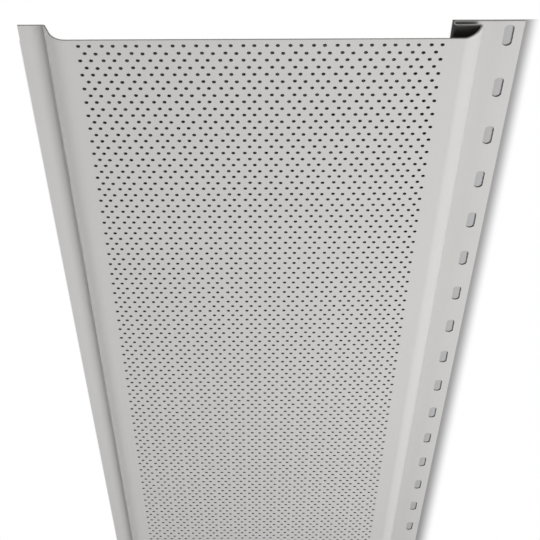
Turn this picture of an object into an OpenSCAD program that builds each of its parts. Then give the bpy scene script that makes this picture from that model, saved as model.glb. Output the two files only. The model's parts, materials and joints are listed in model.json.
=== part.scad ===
// Perforated soffit vent panel, cut to a short length, lying face up.
// It is one sheet: a tongue on the left, then the rounded and perforated face, then a bull-nose
// that folds back into a lock, whose rear layer runs on as the slotted nail hem on the right.
// +Z is out of the face, and +Y runs along the panel to the end that is photographed near.
// The origin is at the middle of the ground that the panel covers.

/* [Sheet] */
// Length that the panel is cut to
length = 914; // [400:2:1500]
// Thickness of the sheet
sheet = 1.1; // [0.8:0.1:1.5]
// Depth of the panel, from the front of the face to the back of the nail hem
depth = 18.5; // [15:0.5:24]

/* [Face] */
// Width of the face over its two sloping sides
face_w = 306; // [250:1:420]
// How steeply the two sides slope down from the face
side_slope = 65; // [50:1:85]
// Outer radius of the rounded edge beside the tongue
shoulder_radius = 14; // [6:0.5:20]
// Outer radius of the bull-nose beside the nail hem
nose_radius = 14; // [6:0.5:20]

/* [Tongue] */
// Width of the tongue, from its edge to the face
tongue_w = 18.3; // [10:0.1:30]
// Inside radius of the corner between the tongue and the face
root_radius = 1; // [0.5:0.1:2]
// How far the next panel's tongue stays clear of the front of the lock
tongue_slip = 0.2; // [0.1:0.1:0.5]

/* [Lock and nail hem] */
// Width of the lock, from its mouth to its fold
lock_w = 20.3; // [12:0.1:40]
// Clear height inside the lock, which takes the next panel's tongue
lock_gap = 2.8; // [2:0.1:4]
// Outer radius of the fold between the bull-nose and the lock
mouth_radius = 1.6; // [1.6:0.1:2.4]
// Width of the nail hem beyond the face
hem_w = 30.3; // [24:0.1:60]

/* [Nail slots] */
// Length of a nail slot
slot_l = 20.5; // [10:0.5:30]
// Width of a nail slot
slot_w = 7; // [4:0.5:10]
// Distance between the middles of two slots
slot_pitch = 52.8; // [34:0.1:80]
// From the edge of the nail hem to the middle line of the slots
slot_inset = 10.2; // [8:0.1:14]
// Bare strip of the hem between the near end and the first slot
slot_margin = 3.5; // [1.5:0.1:30]

/* [Perforation] */
// Diameter of one hole of the real sheet
hole_d = 2.8; // [1.5:0.1:3]
// Distance between two holes of a row of the real sheet
hole_pitch = 8.17; // [7:0.01:12]
// Distance between two rows of the real sheet
row_pitch = 7.07; // [6:0.01:12]
// How far every second hole leans towards its neighbour, which sets the columns in pairs
pair_lean = 0.6; // [0:0.1:1]
// How much coarser the drilled pattern is than the real one: 2 drills a quarter of the holes,
// at twice the width and the pitch, and leaves the same open area
coarseness = 2; // [2:1:3]
// From the near end to the middle of the first row
row_start = 5.5; // [5.5:0.1:20]
// Bare strip of the face between its left edge and the first hole's middle
left_margin = 24.5; // [22:0.1:60]
// Bare strip of the face between the last hole's middle and its right edge
right_margin = 28.7; // [20:0.1:60]

/* [Hidden] */
$fn = 48;

panel_w = tongue_w + face_w + hem_w;
left_edge = -panel_w / 2;
right_edge = panel_w / 2;
face_left = left_edge + tongue_w;
face_right = face_left + face_w;
near_end = length / 2;

// The lock's rear layer lies on the ground, and its front layer is above the gap.
front_layer_z = sheet + lock_gap;
fold = [face_right - lock_w + sheet + lock_gap / 2, sheet + lock_gap / 2];
mouth = [face_right - mouth_radius, front_layer_z + mouth_radius];

// The tongue is level with the room inside a lock, close to the lock's front layer, which
// carries it once the panels are up.
tongue_face = front_layer_z - tongue_slip;
root = [face_left - root_radius * tan(side_slope / 2), tongue_face + root_radius];

// Each rounded edge turns from the flat of the face to the slope of a side. It takes up some of
// the depth, and the side is straight from there down to the corner or the mouth.
drop = 1 - cos(side_slope);
mouth_top = mouth.y + mouth_radius * cos(side_slope);
shoulder_bend = min(shoulder_radius, (depth - root.y) / drop);
shoulder = [
    face_left + (depth - shoulder_bend * drop - tongue_face) / tan(side_slope)
        + shoulder_bend * sin(side_slope),
    depth - shoulder_bend
];
nose_bend = min(nose_radius, (depth - mouth_top) / drop);
nose = [
    mouth.x + (mouth_radius - nose_bend) * sin(side_slope)
        - (depth - nose_bend * drop - mouth_top) / tan(side_slope),
    depth - nose_bend
];

// The bends of the sheet in order from tongue to nail hem. Each one is its middle, the radii of
// the sheet's front and back skins, and the angles at which it starts and ends.
BENDS = [
    [root, root_radius, root_radius + sheet, -90, side_slope - 90],
    [shoulder, shoulder_bend, shoulder_bend - sheet, 90 + side_slope, 90],
    [nose, nose_bend, nose_bend - sheet, 90, 90 - side_slope],
    [mouth, mouth_radius, mouth_radius - sheet, 90 - side_slope, -90],
    [fold, lock_gap / 2, lock_gap / 2 + sheet, 90, 270]
];
// Which of a bend's two radii belongs to which skin
FRONT = 1;
BACK = 2;
// Short flats that make up the curve of one bend
BEND_STEPS = 8;

slot_x = right_edge - slot_inset;
slot_count = floor((length - slot_l - 2 * slot_margin) / slot_pitch) + 1;

drilled_d = hole_d * coarseness;
drilled_pitch = hole_pitch * coarseness;
drilled_row = row_pitch * coarseness;
drilled_lean = pair_lean * coarseness;
stagger = (drilled_pitch - drilled_lean) / 2;
field_room = face_w - left_margin - right_margin;
columns = floor((field_room + drilled_lean) / drilled_pitch) + 1;
rows = floor((length - 2 * row_start) / drilled_row) + 1;
field_w = (columns - 1) * drilled_pitch - drilled_lean;
field_left = face_left + left_margin + (field_room - field_w) / 2;

// How far a cutter stands out of the sheet on each side
clear = 1;

// One skin of the sheet round one bend, as points a few degrees apart.
function turned(bend, which) = [
    for (step = [0 : BEND_STEPS])
        let (angle = bend[3] + (bend[4] - bend[3]) * step / BEND_STEPS)
            bend[0] + bend[which] * [cos(angle), sin(angle)]
];

// One skin of the sheet all the way from the tongue's edge to the nail hem's edge. The last
// value is how far that skin is from the back of the sheet.
function skin(which, from_back) = concat(
    [[left_edge, tongue_face - sheet + from_back]],
    [for (bend = BENDS) each turned(bend, which)],
    [[right_edge, from_back]]
);

// The section across the panel: along the front of the sheet, and home along its back.
module section() {
    front = skin(FRONT, sheet);
    back = skin(BACK, 0);
    polygon(concat(front, [for (i = [len(back) - 1 : -1 : 0]) back[i]]));
}

// A row of the field. Every second row is staggered and has one hole less.
module hole_row(odd) {
    for (i = [0 : columns - 1 - odd]) {
        lean = i % 2 * drilled_lean;
        translate([field_left + i * drilled_pitch + odd * stagger - lean, 0])
            cylinder(d = drilled_d, h = sheet + 2 * clear);
    }
}

module perforation() {
    for (row = [0 : rows - 1])
        translate([0, near_end - row_start - row * drilled_row, depth - sheet - clear])
            hole_row(row % 2);
}

// A slot with round ends that runs along the panel.
module nail_slot() {
    straight = slot_l - slot_w;
    tall = sheet + 2 * clear;
    translate([-slot_w / 2, -straight / 2, 0])
        cube([slot_w, straight, tall]);
    for (side = [-1, 1])
        translate([0, side * straight / 2, 0])
            cylinder(d = slot_w, h = tall);
}

module nail_slots() {
    for (i = [0 : slot_count - 1])
        translate([slot_x, near_end - slot_margin - slot_l / 2 - i * slot_pitch, -clear])
            nail_slot();
}

module panel() {
    color([0.78, 0.775, 0.765])
        difference() {
            rotate([90, 0, 0])
                linear_extrude(height = length, center = true)
                    section();
            perforation();
            nail_slots();
        }
}

panel();
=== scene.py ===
# %% [markdown]
# # A perforated soffit vent panel
#
# The real object is one sheet of rigid vinyl. It is extruded, punched while it is flat, and
# folded along its length: a tongue on one side, and a lock with a nail hem on the other.
# This lesson makes it in the same order. First comes a flat blank with its holes, then the
# folds, and last the sheet's thickness, the finish and the studio.

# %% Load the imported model
import json

import bpy
import numpy as np
from mathutils import Matrix, Vector


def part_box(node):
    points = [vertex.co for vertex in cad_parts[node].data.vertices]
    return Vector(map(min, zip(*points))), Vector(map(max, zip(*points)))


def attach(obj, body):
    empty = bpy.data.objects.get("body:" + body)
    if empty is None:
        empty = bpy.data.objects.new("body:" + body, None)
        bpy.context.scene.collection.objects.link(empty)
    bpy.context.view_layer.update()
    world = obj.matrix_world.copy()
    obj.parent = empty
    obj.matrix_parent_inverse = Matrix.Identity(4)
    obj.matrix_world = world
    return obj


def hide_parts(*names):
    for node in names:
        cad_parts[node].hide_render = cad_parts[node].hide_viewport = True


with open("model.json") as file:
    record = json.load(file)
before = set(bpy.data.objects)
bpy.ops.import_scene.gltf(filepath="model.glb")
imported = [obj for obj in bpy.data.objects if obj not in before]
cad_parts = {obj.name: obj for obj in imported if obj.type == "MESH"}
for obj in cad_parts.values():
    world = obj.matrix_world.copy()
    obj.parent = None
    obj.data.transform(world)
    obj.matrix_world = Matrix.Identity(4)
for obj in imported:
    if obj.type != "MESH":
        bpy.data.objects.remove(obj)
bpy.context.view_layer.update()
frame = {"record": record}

MM = 0.001

# %% [markdown]
# ## Sizes
#
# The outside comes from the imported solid, and the nail slots come from its mount, so the
# two models can't drift apart. What the solid's box can't tell, such as the bend radii, is
# named here in millimetres, as a maker's drawing would give it. The bull-nose has two radii:
# a tight crest beside the face, and a slower turn below it. The light in the photograph
# changes quickly over the crest and slowly after it, which one radius doesn't give.

# %% Sizes of the folded sheet
low, high = (np.array(corner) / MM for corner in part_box("panel"))
left_edge, right_edge = low[0], high[0]
far_end, near_end = low[1], high[1]
depth = high[2]

sheet = 1.1
tongue_w, face_w = 18.3, 306.0
side_slope = np.radians(65)
shoulder_radius = 14.0
crest_turn, crest_radius, nose_radius = np.radians(27), 8.0, 22.0
root_radius, mouth_radius = 1.0, 1.6
lock_w, lock_gap = 20.3, 2.8
tongue_slip = 0.2

face_left = left_edge + tongue_w
face_right = face_left + face_w
tongue_face = sheet + lock_gap - tongue_slip
mouth_x = face_right - mouth_radius
mouth_top = sheet + lock_gap + mouth_radius * (1 + np.cos(side_slope))
fold_x = face_right - lock_w + sheet + lock_gap / 2

# %% Sizes of the holes
mount = next(m for m in frame["record"]["mounts"] if m["name"] == "nail_slots")
slot_x, slot_middle = (place / MM for place in mount["pos_m"][:2])
slot_radius = mount["dims"]["hole_r_mm"]
slot_length = mount["dims"]["slot_length_mm"]
slot_span = mount["dims"]["spacing_y_mm"]
slot_pitch = 52.8
slot_y = slot_middle + slot_span / 2 - slot_pitch * np.arange(round(slot_span / slot_pitch) + 1)

hole_d = 3.0
hole_pitch, row_pitch = 8.17, 7.07
pair_lean, pair_drop = 0.6, 0.5
row_start, left_margin = 5.5, 24.5
field_columns = 32
field_rows = int((near_end - far_end - 2 * row_start) / row_pitch) + 1
print("nail slots:", len(slot_y), " rows of holes:", field_rows)

# %% [markdown]
# ## The section
#
# Across the panel, the sheet is a chain of straight stretches and round bends. It could be
# drawn as a curve and extruded, but then its holes would have to be cut afterwards. Here the
# chain is walked as a formula instead: it takes the distance along the flat blank and gives
# the place and the direction there, so anything that is drawn on the blank can be folded.

# %% The chain of stretches and bends
def straight(length):
    """A stretch that doesn't turn: its length and its turn."""
    return length, 0.0


def bend(radius, turn):
    """A round bend: its length, which is the radius times the turn, and the turn itself."""
    return radius * abs(turn), turn


def fall(radius, first, last):
    """How far a bend drops between two slopes: the radius times the loss of cosine."""
    return radius * (np.cos(first) - np.cos(last))


def reach(radius, first, last):
    """How far a bend reaches across between two slopes: the radius times the gain of sine."""
    return radius * (np.sin(last) - np.sin(first))


def side_length(foot, fallen):
    """How long a sloping side is: what is left of the depth over the sine of the slope."""
    return (depth - fallen - foot) / np.sin(side_slope)


corner_cut = root_radius * np.tan(side_slope / 2)
left_side = side_length(tongue_face, fall(shoulder_radius, 0, side_slope))
right_side = side_length(
    mouth_top, fall(crest_radius, 0, crest_turn) + fall(nose_radius, crest_turn, side_slope))
flat_left = face_left + left_side * np.cos(side_slope) + reach(shoulder_radius, 0, side_slope)
flat_right = (
    mouth_x + reach(mouth_radius, 0, side_slope) - right_side * np.cos(side_slope)
    - reach(nose_radius, crest_turn, side_slope) - reach(crest_radius, 0, crest_turn))

chain = {
    "tongue": straight(tongue_w - corner_cut),
    "root": bend(root_radius, side_slope),
    "left side": straight(left_side - corner_cut),
    "shoulder": bend(shoulder_radius, -side_slope),
    "face": straight(flat_right - flat_left),
    "crest": bend(crest_radius, -crest_turn),
    "nose": bend(nose_radius, crest_turn - side_slope),
    "right side": straight(right_side),
    "mouth": bend(mouth_radius, side_slope - np.pi),
    "lock": straight(mouth_x - fold_x),
    "fold": bend(lock_gap / 2, np.pi),
    "hem": straight(right_edge - fold_x),
}
lengths, turns = np.array(list(chain.values())).T
starts = np.concatenate([[0], np.cumsum(lengths)])
headings = np.concatenate([[0], np.cumsum(turns)])[:-1]
begins = dict(zip(chain, starts))
print("flat blank, mm:", round(starts[-1], 1), "by", round(near_end - far_end, 1))


def chord(heading, turn, length):
    """From the start of an arc to its end: length times sin(half turn) / (half turn), along
    the heading plus half the turn. With no turn it is the straight stretch itself."""
    span = length * np.sinc(turn / (2 * np.pi))
    middle = heading + turn / 2
    return np.stack([span * np.cos(middle), span * np.sin(middle)], -1)


corners = np.cumsum([[left_edge, tongue_face], *chord(headings, turns, lengths)], axis=0)


def section(u):
    """Where each distance u along the blank lies across the panel, and the way it runs:
    (x, z) is the corner of its stretch plus the chord from there, and (along x, along z) is
    the heading turned by its share of the stretch's turn."""
    piece = np.clip(np.searchsorted(starts, u, "right") - 1, 0, len(lengths) - 1)
    walked = u - starts[piece]
    turned = turns[piece] * walked / lengths[piece]
    place = corners[piece] + chord(headings[piece], turned, walked)
    heading = headings[piece] + turned
    return place, np.stack([np.cos(heading), np.sin(heading)], -1)


print("hem edge, mm:", section(starts[-1:])[0].round(3)[0])

# %% [markdown]
# ## The flat blank
#
# The blank is a plane drawing of points (u, y), where u runs across the sheet and y along
# it. Its parts are plain grids, rings round each hole and each slot, and zips that join a
# row of many points to a row of few. Every part brings its own points, and points that meet
# are welded afterwards, so the parts needn't know about each other. A boolean would also cut
# the holes, but it leaves slivers, and thousands of cuts would be slow.

# %% Grids, rings and zips
def grid(us, ys):
    """Quads between lines across (ys, from near to far) and lines along (us)."""
    points = np.stack(np.meshgrid(us, ys), -1).reshape(-1, 2)
    corner = (np.arange(len(ys) - 1)[:, None] * len(us) + np.arange(len(us) - 1)).ravel()
    return points, corner[:, None] + [len(us), len(us) + 1, 1, 0]


def zip_rails(u_left, ys_left, u_right, ys_right):
    """Triangles between two rails of points. Their points are taken in the order of y, and
    each makes a triangle with the point before it on its rail and the last on the other."""
    order = np.argsort(-np.concatenate([ys_left[1:], ys_right[1:]]), kind="stable")
    on_left = order < len(ys_left) - 1
    left, right = np.cumsum(on_left), np.cumsum(~on_left)
    right_rail = len(ys_left) + right
    triangles = np.where(
        on_left[:, None],
        np.stack([left - 1, left, right_rail], -1),
        np.stack([left, right_rail, right_rail - 1], -1),
    )
    us = np.concatenate([np.full(len(ys_left), u_left), np.full(len(ys_right), u_right)])
    return np.stack([us, np.concatenate([ys_left, ys_right])], -1), triangles


def rings(outer, inner, pattern):
    """The same ring round every hole: outer and inner are (holes, points, 2), and pattern
    lists a ring's triangles by point, the outer ones first."""
    points = np.concatenate([outer, inner], 1)
    first = np.arange(len(points)) * points.shape[1]
    return points.reshape(-1, 2), (first[:, None, None] + pattern).reshape(-1, 3)

# %% [markdown]
# ## The perforated field
#
# The rows are staggered, and every second hole leans towards its neighbour, which sets the
# columns in pairs, as the punch of the real line does. In the staggered rows that second hole
# also sits a little further from the near end. A hole's cell reaches to the middle of the
# staggered holes on each side of it, so the cells of one row meet the next row's halfway and
# all their corners weld. An eight-sided hole with a circle's area looks round at this size
# and keeps a few thousand of them light.

# %% The perforated field
face_u = begins["face"] - flat_left
stagger = (hole_pitch - pair_lean) / 2
index = np.arange(-1, field_columns)
even_holes = face_u + face_left + left_margin + index * hole_pitch - index % 2 * pair_lean
odd_holes = even_holes + stagger
field_us = np.stack([even_holes, odd_holes], -1).ravel()[1:]

row_y = near_end - row_start - row_pitch * np.arange(field_rows)
row_lines = np.append(row_y + row_pitch / 2, row_y[-1] - row_pitch / 2)
field_ys = np.concatenate([[near_end], row_lines, [far_end]])

SIDES = 8
outline_r = hole_d / 2 * np.sqrt(np.pi / (SIDES / 2 * np.sin(2 * np.pi / SIDES)))
compass = 2 * np.pi * np.arange(SIDES) / SIDES
row, column = (side.ravel() for side in np.indices((field_rows, field_columns)))
odd = row % 2
real = column < field_columns - odd
row, column, odd = row[real], column[real], odd[real]
left_line = 2 * column + odd
centre = np.stack([field_us[left_line + 1], row_y[row] - pair_drop * odd * (column % 2)], -1)
outline = outline_r * np.stack([np.cos(compass), np.sin(compass)], -1)
holes = centre[:, None] + outline

around = np.array([[2, 1], [2, 0], [1, 0], [0, 0], [0, 1], [1, 1]])
cells = np.stack([
    field_us[left_line[:, None] + around[:, 0]],
    row_lines[row[:, None] + around[:, 1]],
], -1)
CELL = np.array([
    [0, 1, 6], [1, 7, 6], [1, 2, 7], [2, 8, 7], [2, 3, 8], [3, 9, 8], [3, 10, 9],
    [3, 4, 10], [4, 11, 10], [4, 5, 11], [5, 12, 11], [5, 0, 12], [0, 13, 12], [0, 6, 13],
])
perforated = rings(cells, holes, CELL)

odd_rows = np.arange(1, field_rows, 2)
blanks = [grid(field_us, field_ys[:2]), grid(field_us, field_ys[-2:])]
for side in (field_us[:2], field_us[-2:]):
    blanks += [grid(side, row_lines[[r, r + 1]]) for r in odd_rows]
print("holes in the face:", len(holes))

# %% [markdown]
# ## The nail slots
#
# A slot lets the panel slide on its nails as it warms and cools. Each one gets a band of the
# hem for itself, and the bands' lines run on across the rest of the sheet. Its outline is two
# half circles, and the corners of the band fan out to it. In the pattern of a band, points 0
# to 3 are its corners and the outline comes after them.

# %% The nail slots
band_ys = np.concatenate([[near_end], slot_y - slot_pitch / 2, [far_end]])
hem_u = begins["hem"] - fold_x
BAND_LEFT, BAND_RIGHT = 8.0, 7.5
slot_us = hem_u + slot_x + np.array([-BAND_LEFT, BAND_RIGHT])
QUARTER = 6
half_turn = np.pi * np.arange(2 * QUARTER + 1) / (2 * QUARTER)
half_circle = slot_radius * np.stack([np.cos(half_turn), np.sin(half_turn)], -1)
half_straight = [0, slot_length / 2 - slot_radius]
stadium = np.concatenate([half_circle + half_straight, -half_circle - half_straight])
slot_centres = np.stack([np.full(len(slot_y), hem_u + slot_x), slot_y], -1)
slots = slot_centres[:, None] + stadium
band_corners = np.stack([
    np.tile(slot_us[[1, 0, 0, 1]], (len(slot_y), 1)),
    np.stack([band_ys[:-2], band_ys[:-2], band_ys[1:-1], band_ys[1:-1]], -1),
], -1)

ROUND = 4 * QUARTER + 2
quarter = np.arange(QUARTER)
fans = []
for corner, first in enumerate((0, QUARTER, 2 * QUARTER + 1, 3 * QUARTER + 1)):
    point = 4 + first + quarter
    fans.append(np.stack([np.full(QUARTER, corner), point + 1, point], -1))
BAND = np.concatenate(fans + [[
    [0, 1, 4 + QUARTER],
    [1, 2, 4 + 2 * QUARTER], [2, 4 + 2 * QUARTER + 1, 4 + 2 * QUARTER],
    [2, 3, 4 + 3 * QUARTER + 1],
    [3, 0, 4 + ROUND - 1], [0, 4, 4 + ROUND - 1],
]])
slotted = rings(band_corners, slots, BAND)
print("nail slots in the hem:", len(slots))

# %% [markdown]
# ## The whole blank
#
# The bends need lines close together, and the flats don't. So each bend gets a line for
# every few degrees, and the flats only where something ends.

# %% The whole blank, welded
DEGREES_A_LINE = 7


def lines_of(first, last):
    """The lines along the sheet from the start of one stretch to the end of another."""
    names = list(chain)
    found = [starts[names.index(first)]]
    for name in names[names.index(first):names.index(last) + 1]:
        length, turn = chain[name]
        steps = max(1, round(abs(np.degrees(turn)) / DEGREES_A_LINE))
        found += list(begins[name] + length * np.arange(1, steps + 1) / steps)
    return np.array(found)


left_us = lines_of("tongue", "shoulder")
right_us = lines_of("crest", "fold")
parts = [
    grid(left_us, band_ys),
    zip_rails(left_us[-1], band_ys, field_us[0], field_ys),
    perforated,
    *blanks,
    zip_rails(field_us[-1], field_ys, right_us[0], band_ys),
    grid(right_us, band_ys),
    grid([right_us[-1], slot_us[0]], band_ys),
    slotted,
    grid(slot_us, band_ys[-2:]),
    grid([slot_us[1], starts[-1]], band_ys),
]
firsts = np.cumsum([0] + [len(points) for points, _ in parts])
loose = np.concatenate([points for points, _ in parts])
faces = [corners_of + first for (_, corners_of), first in zip(parts, firsts)]
blank, joined = np.unique(loose.round(4), axis=0, return_inverse=True)
joined = joined.ravel()
triangles = joined[np.concatenate([f for f in faces if f.shape[1] == 3])]
quads = joined[np.concatenate([f for f in faces if f.shape[1] == 4])]
print("blank:", len(blank), "points,", len(triangles) + 2 * len(quads), "triangles")

# %% [markdown]
# ## Thickness
#
# The reverse of the sheet is the same drawing, moved back by the thickness and turned over.
# A solidify modifier could do that too, but here every edge of the drawing that has a face on
# one side only is a cut edge, and gets a wall. So the rim, the slots and the holes all close
# in one step, and the exact normal of every corner is known.

# %% The cut edges
def edges_of(polygons):
    """Each polygon's edges, in its own direction round."""
    return np.stack([polygons, np.roll(polygons, -1, 1)], -1).reshape(-1, 2)


edges = np.concatenate([edges_of(triangles), edges_of(quads)])
count = len(blank)
names_of = edges[:, 0] * count + edges[:, 1]
cut = edges[~np.isin(names_of, edges[:, 1] * count + edges[:, 0])]
walls = np.stack([cut[:, 1], cut[:, 0], cut[:, 0] + count, cut[:, 1] + count], -1)

run = blank[cut[:, 1]] - blank[cut[:, 0]]
run /= np.linalg.norm(run, axis=1)[:, None]
outward = np.stack([run[:, 1], -run[:, 0]], -1)
leaving, arriving = np.zeros(count, int), np.zeros(count, int)
leaving[cut[:, 0]] = np.arange(len(cut))
arriving[cut[:, 1]] = np.arange(len(cut))


SHARPEST_ROUND = np.radians(60)


def rounded(other):
    """The outward direction at one end of each cut edge: halfway to the next edge's where the
    two turn by less than the sharpest round, as in a hole, and the edge's own at a corner."""
    both = outward + outward[other]
    smooth = (outward * outward[other]).sum(1) > np.cos(SHARPEST_ROUND)
    both = np.where(smooth[:, None], both, outward)
    return both / np.linalg.norm(both, axis=1)[:, None]


at_start, at_end = rounded(arriving[cut[:, 0]]), rounded(leaving[cut[:, 1]])
print("cut edges:", len(cut))

# %% [markdown]
# ## The folds
#
# The real sheet is brought to its profile while it is warm. Here the section's formula
# carries each point of the blank to its place, and it gives the way the sheet runs there as
# well, so the reverse lies exactly one thickness behind the face all the way round a bend.

# %% Fold the sheet
place, along = section(blank[:, 0])
front = np.stack([place[:, 0], blank[:, 1], place[:, 1]], -1)
facing = np.stack([-along[:, 1], np.zeros(count), along[:, 0]], -1)
co = np.concatenate([front, front - sheet * facing]) * MM


def folded(direction, at):
    """A direction (across, along y) in the blank, as it points once the sheet is folded."""
    across = direction[:, :1] * np.stack([along[at, 0], np.zeros(len(at)), along[at, 1]], -1)
    return across + direction[:, 1:] * [0, 1, 0]


at_start, at_end = folded(at_start, cut[:, 0]), folded(at_end, cut[:, 1])
face_polygons = [triangles, quads]
back_polygons = [p[:, ::-1] + count for p in face_polygons]
polygons = [*face_polygons, *back_polygons, walls]
normals = np.concatenate(
    [facing[p].reshape(-1, 3) for p in face_polygons]
    + [-facing[p - count].reshape(-1, 3) for p in back_polygons]
    + [np.stack([at_end, at_start, at_start, at_end], 1).reshape(-1, 3)]
)
print("sheet:", sum(len(p) * (p.shape[1] - 2) for p in polygons), "triangles")

# %% [markdown]
# ## The mesh and its finishes
#
# The real sheet is most likely one colour. The model has four finishes of the same vinyl, to come
# near the photograph: with one colour, the holes and the hollows behind them come out too
# light, so painted shade makes the reverse and the walls of the slots darker here and the
# walls of the holes darker still, and painted light makes the sawn rim paler. Each polygon gets
# the number of its finish, and a wall's follows from where it is on the blank. Whole arrays
# fill the mesh, which takes a moment for this many points.

# %% The finish of each polygon
# Painted shade: the reverse, the walls of the slots and the walls of the holes get finishes darker
# than the face.
FACE, REVERSE_PAINTED_SHADE, PUNCHED_PAINTED_SHADE, RIM_PAINTED_LIGHT = 0, 1, 2, 3
ends = blank[cut]
on_rim = ((ends == blank.min(0)) | (ends == blank.max(0))).any(-1).all(-1)
in_hem = ends[..., 0].min(-1) > begins["hem"]
# Painted light: walls on the rim get the paler rim finish.
wall_finish = np.select([on_rim, in_hem], [RIM_PAINTED_LIGHT, REVERSE_PAINTED_SHADE], PUNCHED_PAINTED_SHADE)
one_side = len(triangles) + len(quads)
finish = np.concatenate([np.repeat([FACE, REVERSE_PAINTED_SHADE], one_side), wall_finish])
print("polygons of each finish:", np.bincount(finish))

# %% Make the mesh
corner_points = np.concatenate([p.ravel() for p in polygons])
sizes = np.concatenate([np.full(len(p), p.shape[1]) for p in polygons])
mesh = bpy.data.meshes.new("soffit_panel")
mesh.vertices.add(len(co))
mesh.vertices.foreach_set("co", co.ravel())
mesh.loops.add(len(corner_points))
mesh.polygons.add(len(sizes))
mesh.polygons.foreach_set("loop_start", np.cumsum(sizes) - sizes)
mesh.loops.foreach_set("vertex_index", corner_points)
mesh.polygons.foreach_set("material_index", finish)
mesh.update(calc_edges=True)
mesh.shade_smooth()
mesh.normals_split_custom_set(normals)

flat_map = mesh.uv_layers.new(name="blank")
flat_map.data.foreach_set("uv", (blank[corner_points % count] * MM).ravel())

panel = bpy.data.objects.new("soffit_panel", mesh)
bpy.context.scene.collection.objects.link(panel)
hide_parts("panel")
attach(panel, "root")

# %% [markdown]
# ## The vinyl
#
# The sheet is a light warm grey with a low satin sheen. Three things
# keep it from looking like paint: faint lines along the sheet from the extrusion die, a broad
# unevenness of tone, and a fine pebble in the surface. They are one node group, which reads
# the flat blank's map, so that the lines follow the sheet round its bends.

# %% A node helper and the vinyl group
def linear(*srgb):
    """Colour values from 0 to 255, as a picture shows them, turned into linear light."""
    c = np.array(srgb) / 255
    return (*np.where(c <= 0.04045, c / 12.92, ((c + 0.055) / 1.055) ** 2.4), 1.0)


def put(tree, kind, inputs=None, **settings):
    """A node of that kind, with its settings and inputs. An input is a value or a socket."""
    node = tree.nodes.new(kind)
    for name, value in settings.items():
        setattr(node, name, value)
    for name, value in (inputs or {}).items():
        if isinstance(value, bpy.types.NodeSocket):
            tree.links.new(value, node.inputs[name])
        else:
            node.inputs[name].default_value = value
    return node


def maths(tree, operation, *values):
    """The output of a Math node on one to three values or sockets."""
    return put(tree, "ShaderNodeMath", dict(enumerate(values)), operation=operation).outputs[0]


def noise(tree, place, scale, detail):
    """A cloudy field around one half, from a Noise node."""
    inputs = {"Vector": place, "Scale": scale, "Detail": detail}
    return put(tree, "ShaderNodeTexNoise", inputs).outputs[0]


def swing(tree, field, amount):
    """A cloudy field made to swing about nothing: the field less one half, times the amount."""
    return maths(tree, "MULTIPLY", maths(tree, "SUBTRACT", field, 0.5), amount)


LINE_SCALE, CLOUD_SCALE, PEBBLE_SCALE = 900, 14, 1400
LINE_SQUEEZE = (1, 0.004, 1)
ROUGHNESS_SWING = 0.12
LINE_SHARE = 0.35


def vinyl_group():
    """Tone, roughness and height of extruded vinyl, from a place on the flat sheet. The tone
    is one plus the swing of the lines and the clouds. The height is shared by the lines and
    the pebble."""
    group = bpy.data.node_groups.new("extruded_vinyl", "ShaderNodeTree")
    sockets = [
        ("Place", "INPUT", "NodeSocketVector"), ("Colour", "INPUT", "NodeSocketColor"),
        ("Die Lines", "INPUT", "NodeSocketFloat"), ("Unevenness", "INPUT", "NodeSocketFloat"),
        ("Roughness", "INPUT", "NodeSocketFloat"), ("Colour", "OUTPUT", "NodeSocketColor"),
        ("Roughness", "OUTPUT", "NodeSocketFloat"), ("Height", "OUTPUT", "NodeSocketFloat"),
    ]
    for name, way, kind in sockets:
        group.interface.new_socket(name, in_out=way, socket_type=kind)
    given = group.nodes.new("NodeGroupInput").outputs
    place = given["Place"]
    drawn_out = put(group, "ShaderNodeVectorMath", {0: place, 1: LINE_SQUEEZE},
                    operation="MULTIPLY")
    lines = noise(group, drawn_out.outputs[0], LINE_SCALE, 3)
    clouds = noise(group, place, CLOUD_SCALE, 2)
    pebble = noise(group, place, PEBBLE_SCALE, 2)

    swings = maths(group, "ADD", swing(group, lines, given["Die Lines"]),
                   swing(group, clouds, given["Unevenness"]))
    tone = maths(group, "ADD", swings, 1)
    colour = put(group, "ShaderNodeVectorMath", {0: given["Colour"], "Scale": tone},
                 operation="SCALE").outputs[0]
    roughness = maths(group, "ADD", swing(group, pebble, ROUGHNESS_SWING), given["Roughness"])
    height = maths(group, "ADD", maths(group, "MULTIPLY", lines, LINE_SHARE),
                   maths(group, "MULTIPLY", pebble, 1 - LINE_SHARE))
    put(group, "NodeGroupOutput", {"Colour": colour, "Roughness": roughness, "Height": height})
    return group


extruded_vinyl = vinyl_group()

# %% The four finishes of the vinyl
SHEEN = 0.35
GRAIN_HEIGHT = 0.00004


def vinyl(name, colour, die_lines, unevenness, roughness, grain):
    """A vinyl surface: the group's colour, roughness and height on a satin plastic."""
    material = bpy.data.materials.new(name)
    material.use_nodes = True
    tree = material.node_tree
    shader = tree.nodes["Principled BSDF"]
    made = put(tree, "ShaderNodeGroup", node_tree=extruded_vinyl)
    place = put(tree, "ShaderNodeUVMap", uv_map="blank").outputs[0]
    tree.links.new(place, made.inputs["Place"])
    given = {"Colour": colour, "Die Lines": die_lines, "Unevenness": unevenness,
             "Roughness": roughness}
    for socket, value in given.items():
        made.inputs[socket].default_value = value
    height = made.outputs["Height"]
    bump = put(tree, "ShaderNodeBump",
               {"Height": height, "Strength": grain, "Distance": GRAIN_HEIGHT})
    tree.links.new(made.outputs["Colour"], shader.inputs["Base Color"])
    tree.links.new(made.outputs["Roughness"], shader.inputs["Roughness"])
    tree.links.new(bump.outputs[0], shader.inputs["Normal"])
    shader.inputs["Specular IOR Level"].default_value = SHEEN
    return material


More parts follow.
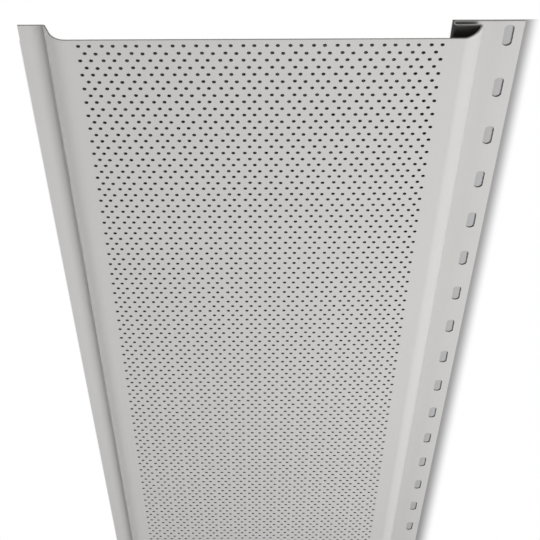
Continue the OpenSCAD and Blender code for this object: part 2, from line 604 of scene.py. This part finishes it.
# In the order of the finishes' numbers: a tone as a picture shows it, then how strong the die
# lines and the unevenness are, the roughness, and the strength of the grain
finishes = {
    "vinyl_face": ((199, 198, 196), 0.03, 0.03, 0.5, 0.6),
    # Painted shade: the reverse and the walls of the slots are written darker than the face.
    "vinyl_reverse_painted_shade": ((125, 124, 122), 0.05, 0.05, 0.6, 0.8),
    # Painted shade: the walls of the holes are written darker still.
    "vinyl_punched_painted_shade": ((115, 114, 112), 0.05, 0.05, 0.7, 0.8),
    # Painted light: the sawn rim is written paler than the face.
    "vinyl_rim_painted_light": ((228, 227, 225), 0.05, 0.05, 0.6, 0.8),
}
for name, (tone, *surface) in finishes.items():
    mesh.materials.append(vinyl(name, linear(*tone), *surface))
print("finishes:", mesh.materials.keys())

# %% [markdown]
# ## The studio
#
# The panel lies on a plain pale floor. The eye sees that floor as white, but under the panel
# it keeps its own pale grey, so what shows through the slots stays shaded. Past the nail hem
# the white comes on over a narrow strip, which is wider towards the far end. The object's
# shadow shows only there, and it is partly real and partly painted: the floor's own shading
# shows in the strip, but the floor there is written darker than under the panel, to match the
# photograph, and the strip's width sets how this painted shadow fades to white. On the other
# sides the white starts at the edge and hides any shadow. Where the eye meets the floor under
# the raised near end, it is white too. The floor is a stage, and isn't part of the object.

# %% What only the eye sees
def looked_at(tree):
    """1 for a ray that goes from the camera, from a glossy surface or through glass, else 0."""
    path = put(tree, "ShaderNodeLightPath").outputs
    seen = maths(tree, "MAXIMUM", path["Is Camera Ray"], path["Is Glossy Ray"])
    return maths(tree, "MAXIMUM", seen, path["Is Transmission Ray"])


# %% The floor's material
# Painted shadow: the width of the strip past the nail hem, and the darker floor tone in it.
PAINTED_SHADOW_WIDTH, PAINTED_SHADOW_TAPER = 0.0155, -0.0092
UNDER_NEAR_END, BESIDE_LOCK = 18.5, 2.5
CRISP, SOFT = 0.001, 0.002
EDGE_FADE = 0.0015
UNDER_TONE, PAINTED_SHADOW_TONE = linear(182)[0], linear(158)[0]


def past(tree, place, line, over):
    """How far a place is past a line, as a share of the width that it fades in over."""
    return maths(tree, "DIVIDE", maths(tree, "SUBTRACT", place, line), over)


def floor_material():
    """Pale grey for light, and white for the eye outside the panel's own ground. The white
    comes on with the greatest of how far a place is past each side of that ground."""
    material = bpy.data.materials.new("floor")
    material.use_nodes = True
    tree = material.node_tree
    tree.nodes.remove(tree.nodes["Principled BSDF"])
    place = put(tree, "ShaderNodeTexCoord").outputs["Object"]
    x, y, _ = put(tree, "ShaderNodeSeparateXYZ", {0: place}).outputs
    # Painted shadow: the width over which the white fades in past the nail hem, wider towards the
    # far end.
    shadow = maths(tree, "MULTIPLY_ADD", y, PAINTED_SHADOW_TAPER, PAINTED_SHADOW_WIDTH)
    outside = maths(tree, "MINIMUM",
                    past(tree, y, (near_end - UNDER_NEAR_END) * MM, CRISP),
                    past(tree, x, (fold_x - BESIDE_LOCK) * MM, -CRISP))
    for sideways in (
        past(tree, x, right_edge * MM, shadow), past(tree, x, left_edge * MM, -SOFT),
        past(tree, y, near_end * MM, CRISP), past(tree, y, far_end * MM, -SOFT),
    ):
        outside = maths(tree, "MAXIMUM", outside, sideways)
    clear = put(tree, "ShaderNodeMapRange", {0: outside}, interpolation_type="SMOOTHSTEP")
    # Painted shadow: past the nail hem the floor is written darker than under the panel.
    tone = put(tree, "ShaderNodeMapRange", {
        0: x, "From Min": right_edge * MM - EDGE_FADE, "From Max": right_edge * MM,
        "To Min": UNDER_TONE, "To Max": PAINTED_SHADOW_TONE})
    pale = put(tree, "ShaderNodeBsdfDiffuse", {"Color": tone.outputs[0]})
    white = put(tree, "ShaderNodeEmission", {"Strength": 1})
    mixed = put(tree, "ShaderNodeMixShader", {
        0: maths(tree, "MULTIPLY", clear.outputs[0], looked_at(tree)),
        1: pale.outputs[0], 2: white.outputs[0]})
    tree.links.new(mixed.outputs[0], tree.nodes["Material Output"].inputs["Surface"])
    return material


# %% The floor
FLOOR_HALF, FLOOR_DROP = 6.0, 0.0001
floor_mesh = bpy.data.meshes.new("floor")
square = [
    (FLOOR_HALF * side, FLOOR_HALF * end, -FLOOR_DROP)
    for side, end in ((-1, -1), (1, -1), (1, 1), (-1, 1))
]
floor_mesh.from_pydata(square, [], [(0, 1, 2, 3)])
floor_mesh.materials.append(floor_material())
floor = bpy.data.objects.new("floor", floor_mesh)
bpy.context.scene.collection.objects.link(floor)
print("floor, m:", 2 * FLOOR_HALF, "square,", FLOOR_DROP, "below the panel")

# %% [markdown]
# ## The world
#
# The world is white to the camera and in reflections, and gives no other light. So the
# vinyl's own colour is lit by the soft boxes alone, and its shades come out as they are placed.

# %% The world
world = bpy.data.worlds.new("studio")
bpy.context.scene.world = world
world.use_nodes = True
background = world.node_tree.nodes["Background"]
background.inputs["Color"].default_value = (1, 1, 1, 1)
world.node_tree.links.new(looked_at(world.node_tree), background.inputs["Strength"])

# %% [markdown]
# ## Light
#
# In the photograph the bull-nose on the right is brighter than the face, the rounded edge on
# the left is a little darker, and the corner beside the tongue is in soft shade. So most of
# the light comes from a large soft box high on the right. Two weaker ones on the left keep
# the other side from going dark, and a faint one above the near end picks out its cut edges.
# The levels were found by lighting the panel with one box at a time and weighing the pictures
# until their sum had the shades of the photograph across the panel.

# %% The soft boxes
def soft_box(name, bearing, elevation, distance, width, height, level):
    """A rectangular light turned towards the middle of the panel's ground. Its bearing is
    counted in degrees from +X towards +Y. Its level is how bright it makes a white surface
    that faces it there: the energy is the level times pi squared and the distance squared."""
    around, up = np.radians(bearing), np.radians(elevation)
    away = distance * Vector((np.cos(up) * np.cos(around), np.cos(up) * np.sin(around), np.sin(up)))
    lamp = bpy.data.lights.new(name, "AREA")
    lamp.shape, lamp.size, lamp.size_y = "RECTANGLE", width, height
    lamp.energy = level * np.pi**2 * distance**2
    box = bpy.data.objects.new(name, lamp)
    turned = away.to_track_quat("Z", "Y").to_matrix().to_4x4()
    box.matrix_world = Matrix.Translation(away) @ turned
    bpy.context.scene.collection.objects.link(box)


soft_box("high_right", bearing=11, elevation=48, distance=1.9, width=1.0, height=0.8, level=0.98)
soft_box("left", bearing=175, elevation=28, distance=1.9, width=1.0, height=0.8, level=0.27)
soft_box("low_left", bearing=175, elevation=8, distance=1.9, width=1.0, height=0.4, level=0.22)
soft_box("above_near_end", bearing=90, elevation=60, distance=2.0, width=1.0, height=0.8,
         level=0.12)
print("lights:", bpy.data.lights.keys())

# %% [markdown]
# ## Camera
#
# A pinhole camera was fitted to the rows of holes in the photograph. It looks down along the
# panel from beyond the near end, and it is held upside down, so the near end is at the top of
# the picture, as it is for someone who looks up at the eaves.

# %% The camera
LENS_MM, SENSOR_MM = 91.578, 36
camera_place = Vector((-0.01414, 1.1298, 0.70464))
camera_aim = Vector((-0.00006, 0.18714, 0.0185))
camera_roll = np.radians(-0.867)

back = (camera_place - camera_aim).normalized()
right = Vector((0, 0, -1)).cross(back).normalized()
frame_axes = Matrix((right, back.cross(right), back)).transposed().to_4x4()
camera = bpy.data.objects.new("camera", bpy.data.cameras.new("camera"))
camera.data.lens, camera.data.sensor_width = LENS_MM, SENSOR_MM
held = frame_axes @ Matrix.Rotation(camera_roll, 4, "Z")
camera.matrix_world = Matrix.Translation(camera_place) @ held
bpy.context.scene.collection.objects.link(camera)
bpy.context.scene.camera = camera
bpy.context.scene.view_settings.view_transform = "Standard"
print("camera to its aim, m:", round((camera_place - camera_aim).length, 3))
